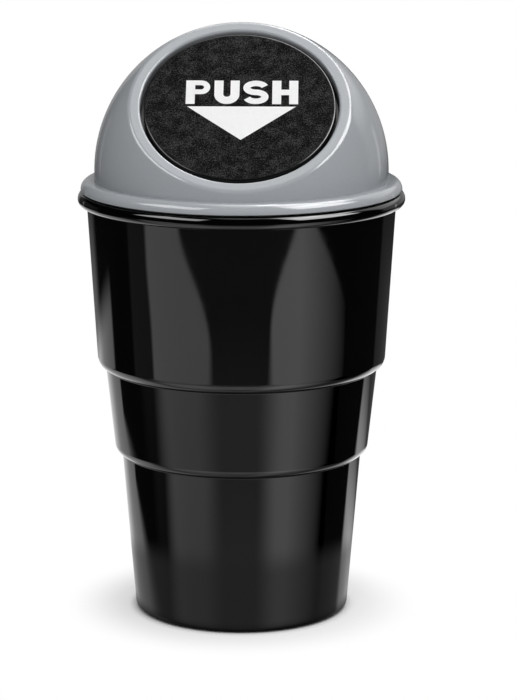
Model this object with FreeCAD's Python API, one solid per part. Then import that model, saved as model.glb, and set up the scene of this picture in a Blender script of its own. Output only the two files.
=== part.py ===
import FreeCAD, Part

import math
import os

from FreeCAD import Vector

# A cup-holder trash bin: a stepped cup, a dome lid with a tilted round opening, and a sprung push flap.
# Millimetres. Z is up, the origin is the middle of the base, and the opening faces -Y.

# Cup: outside radius of each tier at its foot and its top
BASE_R = 36.2
LOW_TIER_TOP_R = 40.65
MID_TIER_FOOT_R = 42.9
MID_TIER_TOP_R = 46.0
TOP_TIER_FOOT_R = 48.6
MOUTH_R = 51.9

# Cup: heights
LOW_STEP_Z = 54.6
HIGH_STEP_Z = 84.5
STEP_RISE = 1.1
CUP_H = 144.3
BEAD_H = 4.5

# Cup: walls, rim bead and roundings
WALL = 1.6
FLOOR = 1.8
FLOOR_LIFT = 2.0
FOOT_RING_W = 4.8
FOOT_ROUND = 2.3
FOOT_INNER_ROUND = 0.6
RECESS_ROUND = 0.8
FLOOR_ROUND = 1.8
BEAD_OUT = 3.05
BEAD_LOW_ROUND = 1.95
BEAD_TOP_ROUND = 2.4
BEAD_NECK_ROUND = 0.6
MOUTH_ROUND = 0.5
HIGH_STEP_ROUND = 3.8
LOW_STEP_ROUND = 3.5
STEP_NECK_ROUND = 0.8
LEAST_ROUND = 0.2

# Lid: dome, rim bead and plug that drops into the mouth
DOME_INSET = 2.6
DOME_LIFT = 6.7
LID_WALL = 1.6
LID_BEAD_H = 3.8
LID_BEAD_OVERHANG = 1.0
LID_BEAD_ROUND = 3.05
LID_BEAD_LIFT = 0.35
LID_CHANNEL_W = 1.7
LID_CHANNEL_H = 2.3
PLUG_DEPTH = 6.5
PLUG_CLEARANCE = 0.3
PLUG_LEAD_ROUND = 0.8
MOUTH_SEAT_DEPTH = 7.5

# Opening ring, turned about an axis through the dome's centre that tilts up by this many degrees
OPENING_TILT = 48.4
RING_BORE_R = 32.6
RING_W = 3.8
RING_T = 1.6
RING_LEG = 4.0
RING_OUTER_ROUND = 2.0
RING_INNER_ROUND = 0.45

# Flap
FLAP_GAP = 1.1
FLAP_RECESS = 0.5
FLAP_T = 1.6
FLAP_SKIRT_T = 1.5
FLAP_EDGE_ROUND = 0.6
STOP_T = 1.3
STOP_OVERLAP = 1.3
STOP_CLEARANCE = 0.3
SKIRT_DROP = 8.0

# Hinge: a steel pin across the upper part of the opening, through two lid brackets and two flap ears
HINGE_DROP = 5.6
HINGE_BACK = 5.6
PIN_R = 1.0
PIN_PRESS_CLEARANCE = 0.02
PIN_RUN_CLEARANCE = 0.06
PIN_END_SHOW = 1.0
PIN_HEAD_R = 1.9
PIN_HEAD_T = 0.8
BRACKET_X = 11.0
BRACKET_T = 2.0
BRACKET_EYE_R = 2.6
BRACKET_SET_BACK = 0.5
BRACKET_ROOT_L = 2.4
BRACKET_ROOT_DROP = 1.4
EAR_X = 7.0
EAR_T = 2.0
EAR_EYE_R = 2.4
EAR_HEEL = 2.4

# Return spring: a torsion spring wound round the pin
WIRE_R = 0.4
COIL_R = 2.0
COIL_TURNS = 6
COIL_PITCH = 1.05
FLAP_LEG_L = 12.0
SPRING_TOUCH = 0.08

# Places that follow from the sizes above; those of the ring, flap and hinge are in the opening's frame
BEAD_FOOT_Z = CUP_H - BEAD_H
DOME_Z = CUP_H + DOME_LIFT
DOME_R = MOUTH_R - DOME_INSET
DOME_IN_R = DOME_R - LID_WALL
RING_OUTER_R = RING_BORE_R + RING_W
RING_FACE = math.sqrt(DOME_R ** 2 - RING_OUTER_R ** 2)
FLAP_FACE = RING_FACE - FLAP_RECESS
FLAP_BACK = FLAP_FACE - FLAP_T
FLAP_R = RING_BORE_R - FLAP_GAP
RING_LEG_END = RING_FACE - RING_LEG
RING_LEG_R = RING_BORE_R + RING_T
HINGE_W = FLAP_FACE - HINGE_BACK
HINGE_UP = RING_BORE_R - HINGE_DROP
SKIRT_TOP = HINGE_UP - SKIRT_DROP

# Cutting tools run past what they cut by this much; shorter edges are left out of outlines
OVER = 1.0
TINY = 1e-6


def unit(v):
    return v / v.Length


def rounded_wire(corners):
    """Closed wire in the XZ plane through (x, z, rounding) corners."""
    points = [Vector(x, 0, z) for x, z, _ in corners]
    ends = []
    for i, (_, _, rounding) in enumerate(corners):
        here = points[i]
        if not rounding:
            ends.append((here, None, here))
            continue
        to_last = unit(points[i - 1] - here)
        to_next = unit(points[(i + 1) % len(points)] - here)
        half = to_last.getAngle(to_next) / 2
        reach = rounding / math.tan(half)
        centre = here + unit(to_last + to_next) * (rounding / math.sin(half))
        middle = centre + unit(here - centre) * rounding
        ends.append((here + to_last * reach, middle, here + to_next * reach))
    edges = []
    for i, (start, middle, end) in enumerate(ends):
        if middle is not None:
            edges.append(Part.Arc(start, middle, end).toShape())
        following = ends[(i + 1) % len(ends)][0]
        if (following - end).Length > TINY:
            edges.append(Part.LineSegment(end, following).toShape())
    return Part.Wire(edges)


def turned(wire):
    """Solid of revolution about Z."""
    return Part.Face(wire).revolve(Vector(0, 0, 0), Vector(0, 0, 1), 360)


def bar_x(radius, x0, x1, y, z):
    """Cylinder along X."""
    return Part.makeCylinder(radius, x1 - x0, Vector(x0, y, z), Vector(1, 0, 0))


def plate_x(outline, x0, x1):
    """Plate cut to a (y, z) outline, from x0 to x1."""
    points = [Vector(x0, y, z) for y, z in outline]
    face = Part.Face(Part.makePolygon(points + points[:1]))
    return face.extrude(Vector(x1 - x0, 0, 0))


def in_opening_frame(shape):
    """Turns the opening's own frame (X, up the opening, along its axis) into the part's frame."""
    turn = FreeCAD.Rotation(Vector(1, 0, 0), 90 - OPENING_TILT)
    placed = shape.copy()
    placed.Placement = FreeCAD.Placement(Vector(0, 0, DOME_Z), turn)
    return placed


def between(z, foot_z, foot_r, top_z, top_r):
    """Radius at height z on a tapered wall."""
    return foot_r + (top_r - foot_r) * (z - foot_z) / (top_z - foot_z)


def tier_corners(inset):
    """Corners of the three tiers from the low step up, set in from the outside by a wall."""
    low_z = LOW_STEP_Z + inset
    high_z = HIGH_STEP_Z + inset
    low_r = between(low_z, 0, BASE_R, LOW_STEP_Z, LOW_TIER_TOP_R)
    mid_foot_z = LOW_STEP_Z + STEP_RISE
    mid_foot_r = between(mid_foot_z + inset, mid_foot_z, MID_TIER_FOOT_R, HIGH_STEP_Z, MID_TIER_TOP_R)
    mid_top_r = between(high_z, mid_foot_z, MID_TIER_FOOT_R, HIGH_STEP_Z, MID_TIER_TOP_R)
    top_foot_z = HIGH_STEP_Z + STEP_RISE
    top_foot_r = between(top_foot_z + inset, top_foot_z, TOP_TIER_FOOT_R, BEAD_FOOT_Z, MOUTH_R)
    return [
        (low_r - inset, low_z, STEP_NECK_ROUND + inset),
        (mid_foot_r - inset, low_z + STEP_RISE, max(LOW_STEP_ROUND - inset, LEAST_ROUND)),
        (mid_top_r - inset, high_z, STEP_NECK_ROUND + inset),
        (top_foot_r - inset, high_z + STEP_RISE, max(HIGH_STEP_ROUND - inset, LEAST_ROUND)),
    ]


def bin_body():
    """Stepped cup with a rolled rim bead, a recessed floor and a foot ring."""
    bead_r = MOUTH_R + BEAD_OUT
    seat_z = CUP_H - MOUTH_SEAT_DEPTH
    seat_r = MOUTH_R - WALL
    floor_z = FLOOR_LIFT + FLOOR
    floor_r = between(floor_z, 0, BASE_R, LOW_STEP_Z, LOW_TIER_TOP_R) - WALL
    recess_r = BASE_R - FOOT_RING_W
    outside = [
        (0, FLOOR_LIFT, 0),
        (recess_r, FLOOR_LIFT, RECESS_ROUND),
        (recess_r, 0, FOOT_INNER_ROUND),
        (BASE_R, 0, FOOT_ROUND),
        *tier_corners(0),
        (MOUTH_R, BEAD_FOOT_Z, BEAD_NECK_ROUND),
        (bead_r, BEAD_FOOT_Z, BEAD_LOW_ROUND),
        (bead_r, CUP_H, BEAD_TOP_ROUND),
    ]
    inside = [
        (seat_r, CUP_H, MOUTH_ROUND),
        (seat_r, seat_z, 0),
        *reversed(tier_corners(WALL)),
        (floor_r, floor_z, FLOOR_ROUND),
        (0, floor_z, 0),
    ]
    return turned(rounded_wire(outside + inside))


def lid_rim():
    """Turned foot of the lid: short wall, overhanging bead with a cored underside, and plug."""
    plug_r = MOUTH_R - WALL - PLUG_CLEARANCE
    bead_r = MOUTH_R + BEAD_OUT - LID_BEAD_OVERHANG
    bead_top = CUP_H + LID_BEAD_H
    channel_in = plug_r + LID_WALL
    channel_out = channel_in + LID_CHANNEL_W
    return turned(rounded_wire([
        (DOME_IN_R, CUP_H - PLUG_DEPTH, 0),
        (plug_r, CUP_H - PLUG_DEPTH, PLUG_LEAD_ROUND),
        (plug_r, CUP_H, 0),
        (channel_in, CUP_H, 0),
        (channel_in, CUP_H + LID_CHANNEL_H, 0),
        (channel_out, CUP_H + LID_CHANNEL_H, 0),
        (channel_out, CUP_H + LID_BEAD_LIFT, 0),
        (bead_r, CUP_H + LID_BEAD_LIFT, LID_BEAD_LIFT),
        (bead_r, bead_top, LID_BEAD_ROUND),
        (DOME_R, bead_top, 0),
        (DOME_R, DOME_Z, 0),
        (DOME_IN_R, DOME_Z, 0),
    ]))


def ring_edge():
    """Centre of the rounding that runs from the ring's face onto the dome, and the place where it ends."""
    w = RING_FACE - RING_OUTER_ROUND
    away = DOME_R - RING_OUTER_ROUND
    centre = Vector(math.sqrt(away ** 2 - w ** 2), 0, w)
    return centre, centre * (DOME_R / away)


def opening_ring():
    """Flat ring round the opening, rounded into the dome, with a leg that reaches inside it."""
    round_c, on_dome = ring_edge()
    face_end = round_c + Vector(0, 0, RING_OUTER_ROUND)
    round_mid = round_c + unit(face_end + on_dome - round_c * 2) * RING_OUTER_ROUND
    plate_back = RING_FACE - RING_T
    in_dome = Vector(on_dome.x, 0, math.sqrt(DOME_IN_R ** 2 - on_dome.x ** 2))
    lip = RING_BORE_R + RING_INNER_ROUND
    lip_c = Vector(lip, 0, RING_FACE - RING_INNER_ROUND)
    lip_mid = lip_c + unit(Vector(-1, 0, 1)) * RING_INNER_ROUND
    chain = [
        Vector(RING_BORE_R, 0, RING_FACE - RING_INNER_ROUND),
        Vector(RING_BORE_R, 0, RING_LEG_END),
        Vector(RING_LEG_R, 0, RING_LEG_END),
        Vector(RING_LEG_R, 0, plate_back),
        Vector(round_c.x, 0, plate_back),
        in_dome,
        on_dome,
    ]
    edges = [Part.LineSegment(a, b).toShape() for a, b in zip(chain, chain[1:])]
    edges.append(Part.Arc(on_dome, round_mid, face_end).toShape())
    edges.append(Part.LineSegment(face_end, Vector(lip, 0, RING_FACE)).toShape())
    edges.append(Part.Arc(Vector(lip, 0, RING_FACE), lip_mid, chain[0]).toShape())
    return turned(Part.Wire(edges))


def hinge_bracket(side):
    """Bracket on one side that hangs from the ring and holds the pin."""
    root_u = math.sqrt(RING_BORE_R ** 2 - BRACKET_X ** 2) + BRACKET_SET_BACK
    root_end = root_u + BRACKET_ROOT_L
    root_w = RING_FACE - RING_T / 2
    outline = [
        (HINGE_UP, HINGE_W - BRACKET_EYE_R),
        (root_end, RING_LEG_END - BRACKET_ROOT_DROP),
        (root_end, root_w),
        (root_u, root_w),
        (root_u, RING_LEG_END),
        (HINGE_UP, HINGE_W + BRACKET_EYE_R),
    ]
    x0, x1 = sorted((side * BRACKET_X, side * (BRACKET_X + BRACKET_T)))
    arm = plate_x(outline, x0, x1).fuse(bar_x(BRACKET_EYE_R, x0, x1, HINGE_UP, HINGE_W))
    return arm.cut(bar_x(PIN_R + PIN_PRESS_CLEARANCE, x0 - OVER, x1 + OVER, HINGE_UP, HINGE_W))


def dome_lid():
    """Dome lid: hollow half ball on a turned rim, with the opening ring let into it."""
    middle = Vector(0, 0, DOME_Z)
    ball = Part.makeSphere(DOME_R, middle, Vector(0, 0, 1), 0, 90, 360)
    hollow = Part.makeSphere(DOME_IN_R, middle, Vector(0, 0, 1), 0, 90, 360)
    shell = ball.cut(hollow).fuse(lid_rim())
    mouth = Part.makeCylinder(ring_edge()[1].x, DOME_R, Vector(0, 0, DOME_R / 2))
    lid = shell.cut(in_opening_frame(mouth))
    lid = lid.fuse(in_opening_frame(opening_ring()))
    for side in (-1, 1):
        lid = lid.fuse(in_opening_frame(hinge_bracket(side)))
    return lid.removeSplitter()


def flap_disc():
    """Round plate with a skirt, and a stop flange that closes behind the ring's leg."""
    stop_top = RING_LEG_END - STOP_CLEARANCE
    stop_back = stop_top - STOP_T
    skirt_in = FLAP_R - FLAP_SKIRT_T
    stop_r = RING_BORE_R + STOP_OVERLAP
    disc = turned(rounded_wire([
        (0, FLAP_FACE, 0),
        (FLAP_R, FLAP_FACE, FLAP_EDGE_ROUND),
        (FLAP_R, stop_top, 0),
        (stop_r, stop_top, 0),
        (stop_r, stop_back, 0),
        (skirt_in, stop_back, 0),
        (skirt_in, FLAP_BACK, FLAP_EDGE_ROUND),
        (0, FLAP_BACK, 0),
    ]))
    span = 2 * stop_r
    low = stop_back - OVER
    relief = Part.makeBox(span, span, FLAP_BACK - low, Vector(-span / 2, SKIRT_TOP, low))
    return disc.cut(relief)


def flap_ear(side):
    """Ear under the plate that turns on the pin."""
    root_w = FLAP_BACK + FLAP_T / 2
    outline = [
        (HINGE_UP - EAR_EYE_R, HINGE_W),
        (HINGE_UP + EAR_EYE_R, HINGE_W),
        (HINGE_UP + EAR_EYE_R, root_w),
        (HINGE_UP - EAR_EYE_R - EAR_HEEL, root_w),
    ]
    x0, x1 = sorted((side * EAR_X, side * (EAR_X + EAR_T)))
    ear = plate_x(outline, x0, x1).fuse(bar_x(EAR_EYE_R, x0, x1, HINGE_UP, HINGE_W))
    return ear.cut(bar_x(PIN_R + PIN_RUN_CLEARANCE, x0 - OVER, x1 + OVER, HINGE_UP, HINGE_W))


def flap():
    """Push flap: plate, skirt, stop flange and two hinge ears."""
    shape = flap_disc()
    for side in (-1, 1):
        shape = shape.fuse(flap_ear(side))
    return in_opening_frame(shape.removeSplitter())


def hinge_pin():
    """Headed steel pin through both brackets."""
    end = BRACKET_X + BRACKET_T
    shank = bar_x(PIN_R, -end - PIN_END_SHOW, end + PIN_HEAD_T, HINGE_UP, HINGE_W)
    head = bar_x(PIN_HEAD_R, end, end + PIN_HEAD_T, HINGE_UP, HINGE_W)
    return in_opening_frame(shank.fuse(head).removeSplitter())


def coil_wire():
    """Spring coil about X; it starts and ends at the coil's outer side, where the legs leave it."""
    length = COIL_TURNS * COIL_PITCH
    helix = Part.makeHelix(COIL_PITCH, length, COIL_R)
    section = Part.Wire(Part.makeCircle(WIRE_R, Vector(COIL_R, 0, 0), Vector(0, 1, 0)))
    coil = helix.makePipeShell([section], True, True)
    # The helix winds about Z from +X; this turn lays it along X and starts it at the outer side.
    lay = FreeCAD.Rotation(Vector(0, 0, 1), Vector(0, -1, 0), Vector(1, 0, 0), "ZXY")
    coil.Placement = FreeCAD.Placement(Vector(-length / 2, HINGE_UP, HINGE_W), lay)
    return coil


def spring_leg(x, angle, length, way):
    """Straight leg that leaves the coil's outer side on a tangent; its root laps the coil's end."""
    lean = math.radians(angle)
    along = Vector(0, way * math.cos(lean), math.sin(lean))
    start = Vector(x, HINGE_UP - way * COIL_R * math.sin(lean), HINGE_W + COIL_R * math.cos(lean))
    return Part.makeCylinder(WIRE_R, length + WIRE_R, start - along * WIRE_R, along)


def return_spring():
    """Torsion spring: one leg under the flap's plate, one under the ring's leg."""
    half = COIL_TURNS * COIL_PITCH / 2
    flap_rise = FLAP_BACK - WIRE_R - SPRING_TOUCH - HINGE_W - COIL_R
    flap_lean = math.degrees(math.asin(flap_rise / FLAP_LEG_L))
    lid_leg_l = RING_LEG_R - HINGE_UP - WIRE_R
    lid_rise = RING_LEG_END - WIRE_R - SPRING_TOUCH - HINGE_W - COIL_R
    lid_lean = math.degrees(math.asin(lid_rise / (RING_BORE_R - HINGE_UP)))
    spring = coil_wire()
    spring = spring.fuse(spring_leg(-half, lid_lean, lid_leg_l, 1))
    spring = spring.fuse(spring_leg(half, flap_lean, FLAP_LEG_L, -1))
    return in_opening_frame(spring)


def main():
    os.makedirs("parts", exist_ok=True)
    nodes = {
        "bin_body": bin_body(),
        "dome_lid": dome_lid(),
        "flap": flap(),
        "hinge_pin": hinge_pin(),
        "return_spring": return_spring(),
    }
    for name, shape in nodes.items():
        shape.exportStep(os.path.join("parts", name + ".step"))
        print(name, shape.isValid(), len(shape.Solids), round(shape.Volume, 1))


main()
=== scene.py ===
import math

import bmesh
import bpy
from mathutils import Matrix, Vector


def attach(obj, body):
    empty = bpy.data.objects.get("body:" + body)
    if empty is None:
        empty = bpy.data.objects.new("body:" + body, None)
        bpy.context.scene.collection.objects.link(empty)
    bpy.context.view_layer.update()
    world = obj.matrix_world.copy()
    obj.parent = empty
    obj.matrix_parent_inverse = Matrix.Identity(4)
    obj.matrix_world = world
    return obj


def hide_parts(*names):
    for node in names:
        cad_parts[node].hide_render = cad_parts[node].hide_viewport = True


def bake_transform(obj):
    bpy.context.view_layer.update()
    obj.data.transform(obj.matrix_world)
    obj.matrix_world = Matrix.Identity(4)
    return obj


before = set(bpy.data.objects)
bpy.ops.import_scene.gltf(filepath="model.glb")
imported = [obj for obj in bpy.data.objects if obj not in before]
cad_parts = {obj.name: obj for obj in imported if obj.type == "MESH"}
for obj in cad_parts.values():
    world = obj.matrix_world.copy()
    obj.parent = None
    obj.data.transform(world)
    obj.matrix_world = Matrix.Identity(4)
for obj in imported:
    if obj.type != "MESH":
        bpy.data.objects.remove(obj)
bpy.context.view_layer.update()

# Sizes are in millimetres and meshes are written in metres.
MM = 0.001

# Cup
BASE_R, LOW_TIER_TOP_R = 36.2, 40.65
MID_TIER_FOOT_R, MID_TIER_TOP_R = 42.9, 46.0
TOP_TIER_FOOT_R, MOUTH_R = 48.6, 51.9
LOW_STEP_Z, HIGH_STEP_Z, STEP_RISE = 54.6, 84.5, 1.1
CUP_H, BEAD_H, BEAD_OUT = 144.3, 4.5, 3.05
WALL, FLOOR, FLOOR_LIFT, FOOT_RING_W = 1.6, 1.8, 2.0, 4.8
FOOT_ROUND, FOOT_INNER_ROUND, RECESS_ROUND, FLOOR_ROUND = 2.3, 0.6, 0.8, 1.8
BEAD_LOW_ROUND, BEAD_TOP_ROUND, BEAD_NECK_ROUND, MOUTH_ROUND = 1.95, 2.4, 0.2, 0.5
HIGH_STEP_ROUND, LOW_STEP_ROUND, STEP_NECK_ROUND = 3.8, 3.5, 0.3

# Lid
DOME_INSET, DOME_LIFT, EQUATOR_DROP, LID_WALL = 2.6, 6.7, 1.5, 1.6
LID_BEAD_H, LID_BEAD_OVERHANG, LID_BEAD_ROUND, LID_BEAD_LIFT = 3.8, 1.0, 3.05, 0.35
LID_CHANNEL_W, LID_CHANNEL_H = 1.7, 2.3
PLUG_DEPTH, PLUG_CLEARANCE, PLUG_LEAD_ROUND, MOUTH_SEAT_DEPTH = 6.5, 0.3, 0.8, 7.5
OPENING_TILT = math.radians(48.4)
RING_BORE_R, RING_W, RING_T, RING_LEG = 32.6, 3.8, 1.6, 4.0
RING_OUTER_ROUND, RING_INNER_ROUND = 2.0, 0.8

# Flap, hinge and spring
FLAP_GAP, FLAP_RECESS, FLAP_T, FLAP_SKIRT_T, FLAP_EDGE_ROUND = 1.1, 0.5, 1.6, 1.5, 0.6
STOP_T, STOP_OVERLAP, STOP_CLEARANCE, SKIRT_DROP = 1.3, 1.3, 0.3, 8.0
FACE_GRAIN_R = 30.95
HINGE_DROP, HINGE_BACK = 5.6, 5.6
PIN_R, PIN_RUN_CLEARANCE, PIN_PRESS_CLEARANCE = 1.0, 0.06, 0.02
BRACKET_X, BRACKET_T, BRACKET_EYE_R = 11.0, 2.0, 2.6
BRACKET_SET_BACK, BRACKET_ROOT_L, BRACKET_ROOT_DROP = 0.5, 2.4, 1.4
EAR_X, EAR_T, EAR_EYE_R, EAR_HEEL = 7.0, 2.0, 2.4, 2.4
ARM_LEAN = math.radians(20)
WIRE_R, COIL_R, COIL_TURNS, COIL_PITCH, FLAP_LEG_L, SPRING_TOUCH = 0.4, 2.0, 6, 1.05, 12.0, 0.08

# Places that follow
BEAD_FOOT_Z = CUP_H - BEAD_H
DOME_Z = CUP_H + DOME_LIFT
DOME_R = MOUTH_R - DOME_INSET
DOME_IN_R = DOME_R - LID_WALL
RING_OUTER_R = RING_BORE_R + RING_W
RING_FACE = math.sqrt(DOME_R ** 2 - RING_OUTER_R ** 2)
RING_LEG_END = RING_FACE - RING_LEG
RING_LEG_R = RING_BORE_R + RING_T
FLAP_FACE = RING_FACE - FLAP_RECESS
FLAP_BACK = FLAP_FACE - FLAP_T
FLAP_R = RING_BORE_R - FLAP_GAP
HINGE_W = FLAP_FACE - HINGE_BACK
HINGE_UP = RING_BORE_R - HINGE_DROP

# Fineness of the meshes
COLUMNS, LID_COLUMNS, DOME_ROWS, SKIRT_STEPS = 256, 288, 40, 160
ARC_STEPS, RING_EDGE_STEPS, EYE_STEPS, WIRE_SIDES = 8, 12, 32, 12
COIL_STEPS, LID_LEG_STEPS, FLAP_LEG_STEPS = 24, 4, 6
SHARP_ANGLE = math.radians(32)

# Support points lie this close to the ends of a run that is longer than LONG_RUN.
SUPPORT = 0.12
LONG_RUN = 6 * SUPPORT

# Arms and webs are thinner than their eyes by this on each side, so that no two faces coincide.
HAIR = SUPPORT / 4
ON_AXIS = 1e-6

# Opening frame: X stays, Y runs up the opening and Z out along its axis.
OPENING = Matrix.Translation((0, 0, DOME_Z)) @ Matrix.Rotation(math.pi / 2 - OPENING_TILT, 4, "X")


def arc(centre, radius, start, end, steps=ARC_STEPS):
    """Points on an arc, both ends included; angles in radians."""
    turns = [start + (end - start) * i / steps for i in range(steps + 1)]
    return [(centre[0] + radius * math.cos(a), centre[1] + radius * math.sin(a)) for a in turns]


def rounded(corners, closed=False):
    """Outline through (r, z, rounding) corners, with arcs, and support points on long straight runs."""
    points = []
    count = len(corners)
    for i, (r, z, rounding) in enumerate(corners):
        here = Vector((r, z))
        if not rounding or (not closed and i in (0, count - 1)):
            points.append((r, z))
            continue
        to_last = (Vector(corners[i - 1][:2]) - here).normalized()
        to_next = (Vector(corners[(i + 1) % count][:2]) - here).normalized()
        half = to_last.angle(to_next) / 2
        reach = rounding / math.tan(half)
        middle = here + (to_last + to_next).normalized() * (rounding / math.sin(half))
        a = here + to_last * reach - middle
        b = here + to_next * reach - middle
        start = math.atan2(a.y, a.x)
        sweep = math.atan2(a.x * b.y - a.y * b.x, a.dot(b))
        points += arc(middle, rounding, start, start + sweep)
    return supported(points, closed)


def supported(points, closed):
    """Adds a point close to each end of a long straight run, so that shading stays true along it."""
    result = []
    pairs = list(zip(points, points[1:] + points[:1]))
    for i, (a, b) in enumerate(pairs):
        result.append(a)
        run = Vector(b) - Vector(a)
        if run.length > LONG_RUN and (closed or i < len(pairs) - 1):
            step = run.normalized() * SUPPORT
            result += [tuple(Vector(a) + step), tuple(Vector(b) - step)]
    return result


def join_rows(rows, closed):
    """Faces of a grid of rows that wrap round; a row of one point is a pole."""
    faces = []
    starts = []
    total = 0
    for row in rows:
        starts.append(total)
        total += len(row)
    pairs = list(range(len(rows) - 1))
    for i in pairs + ([len(rows) - 1] if closed else []):
        j = (i + 1) % len(rows)
        a, b = starts[i], starts[j]
        width = max(len(rows[i]), len(rows[j]))
        for k in range(width):
            n = (k + 1) % width
            if len(rows[i]) == 1:
                faces.append((a, b + n, b + k))
            elif len(rows[j]) == 1:
                faces.append((a + k, a + n, b))
            else:
                faces.append((a + k, a + n, b + n, b + k))
    return faces


def turned(outline, columns=COLUMNS, closed=False):
    """Rows of an outline turned about Z."""
    rows = []
    for r, z in outline:
        if r < ON_AXIS:
            rows.append([(0, 0, z)])
            continue
        turns = [2 * math.pi * k / columns for k in range(columns)]
        rows.append([(r * math.cos(a), r * math.sin(a), z) for a in turns])
    return [p for row in rows for p in row], join_rows(rows, closed)


def slab(outline, x0, x1):
    """Plate cut to a (y, z) outline, from x0 to x1."""
    n = len(outline)
    points = [(x, y, z) for x in (x0, x1) for y, z in outline]
    faces = [tuple(range(n))[::-1], tuple(range(n, 2 * n))]
    faces += [(i, (i + 1) % n, n + (i + 1) % n, n + i) for i in range(n)]
    return points, faces


def tube(path, radius, sides=WIRE_SIDES):
    """Round wire along a path of points, with flat ends."""
    points = []
    across = Vector((1, 0, 0))
    for i, here in enumerate(path):
        ahead = path[min(i + 1, len(path) - 1)] - path[max(i - 1, 0)]
        ahead.normalize()
        across = (across - ahead * across.dot(ahead)).normalized()
        up = ahead.cross(across)
        for k in range(sides):
            a = 2 * math.pi * k / sides
            points.append(tuple(here + (across * math.cos(a) + up * math.sin(a)) * radius))
    faces = [tuple(range(sides))[::-1], tuple(range(len(points) - sides, len(points)))]
    for i in range(len(path) - 1):
        for k in range(sides):
            n = (k + 1) % sides
            faces.append((i * sides + k, i * sides + n, (i + 1) * sides + n, (i + 1) * sides + k))
    return points, faces


def piece(name, *solids, place=None, materials=()):
    """One object from several (points, faces) solids, in millimetres; place moves them first."""
    points, faces = [], []
    for solid_points, solid_faces in solids:
        shift = len(points)
        points += [tuple(Vector(p) * MM) for p in solid_points]
        faces += [tuple(i + shift for i in face) for face in solid_faces]
    mesh = bpy.data.meshes.new(name)
    mesh.from_pydata(points, [], faces)
    if place is not None:
        move = place.copy()
        move.translation = move.translation * MM
        mesh.transform(move)
    mesh.validate()
    mesh.shade_smooth()
    mesh.set_sharp_from_angle(angle=SHARP_ANGLE)
    obj = bpy.data.objects.new(name, mesh)
    bpy.context.scene.collection.objects.link(obj)
    for material in materials:
        mesh.materials.append(material)
    make_outward(obj)
    return obj


def make_outward(obj):
    """Turns every closed shell's faces outward."""
    work = bmesh.new()
    work.from_mesh(obj.data)
    bmesh.ops.recalc_face_normals(work, faces=work.faces)
    work.to_mesh(obj.data)
    work.free()


def between(z, foot_z, foot_r, top_z, top_r):
    """Radius at height z on a tapered wall."""
    return foot_r + (top_r - foot_r) * (z - foot_z) / (top_z - foot_z)


def tier_corners(inset):
    """Corners of the three tiers from the low step up, set in from the outside by a wall."""
    low_z = LOW_STEP_Z + inset
    high_z = HIGH_STEP_Z + inset
    low_r = between(low_z, 0, BASE_R, LOW_STEP_Z, LOW_TIER_TOP_R)
    mid_foot_z = LOW_STEP_Z + STEP_RISE
    mid_foot_r = between(mid_foot_z + inset, mid_foot_z, MID_TIER_FOOT_R, HIGH_STEP_Z, MID_TIER_TOP_R)
    mid_top_r = between(high_z, mid_foot_z, MID_TIER_FOOT_R, HIGH_STEP_Z, MID_TIER_TOP_R)
    top_foot_z = HIGH_STEP_Z + STEP_RISE
    top_foot_r = between(top_foot_z + inset, top_foot_z, TOP_TIER_FOOT_R, BEAD_FOOT_Z, MOUTH_R)
    return [
        (low_r - inset, low_z, STEP_NECK_ROUND + inset),
        (mid_foot_r - inset, low_z + STEP_RISE, LOW_STEP_ROUND - inset),
        (mid_top_r - inset, high_z, STEP_NECK_ROUND + inset),
        (top_foot_r - inset, high_z + STEP_RISE, HIGH_STEP_ROUND - inset),
    ]


def cup(material):
    """Stepped cup with its rim bead, recessed floor and foot ring."""
    bead_r = MOUTH_R + BEAD_OUT
    seat_r = MOUTH_R - WALL
    floor_z = FLOOR_LIFT + FLOOR
    floor_r = between(floor_z, 0, BASE_R, LOW_STEP_Z, LOW_TIER_TOP_R) - WALL
    recess_r = BASE_R - FOOT_RING_W
    outline = rounded([
        (0, FLOOR_LIFT, 0),
        (recess_r, FLOOR_LIFT, RECESS_ROUND),
        (recess_r, 0, FOOT_INNER_ROUND),
        (BASE_R, 0, FOOT_ROUND),
        *tier_corners(0),
        (MOUTH_R, BEAD_FOOT_Z, BEAD_NECK_ROUND),
        (bead_r, BEAD_FOOT_Z, BEAD_LOW_ROUND),
        (bead_r, CUP_H, BEAD_TOP_ROUND),
        (seat_r, CUP_H, MOUTH_ROUND),
        (seat_r, CUP_H - MOUTH_SEAT_DEPTH, 0),
        *reversed(tier_corners(WALL)),
        (floor_r, floor_z, FLOOR_ROUND),
        (0, floor_z, 0),
    ])
    obj = piece("cup", turned(outline), materials=[material])
    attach(obj, "bin")
    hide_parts("bin_body")


def ring_edge():
    """Centre of the rounding that runs from the ring's face onto the dome, and the place where it ends."""
    w = RING_FACE - RING_OUTER_ROUND
    away = DOME_R - RING_OUTER_ROUND
    centre = Vector((math.sqrt(away ** 2 - w ** 2), w))
    return centre, centre * (DOME_R / away)


def ring_outline():
    """(r, w) outline of the ring from the leg's outer edge, over its face, to the dome."""
    round_c, on_dome = ring_edge()
    lip = (RING_BORE_R + RING_INNER_ROUND, RING_FACE - RING_INNER_ROUND)
    leg = rounded([
        (RING_LEG_R, RING_LEG_END, 0),
        (RING_BORE_R, RING_LEG_END, 0),
        (RING_BORE_R, lip[1], 0),
    ])
    face = arc(lip, RING_INNER_ROUND, math.pi, math.pi / 2)
    edge = arc(round_c, RING_OUTER_ROUND, math.pi / 2, math.atan2(on_dome.y, on_dome.x), RING_EDGE_STEPS)
    straight = supported([face[-1], edge[0]], False)
    return leg[:-1] + face[:-1] + straight + edge[1:]


def opening_point(r, w, turn):
    """Point at radius r and height w in the opening's frame; turn is 0 at its top."""
    return OPENING @ Vector((r * math.sin(turn), r * math.cos(turn), w))


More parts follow.
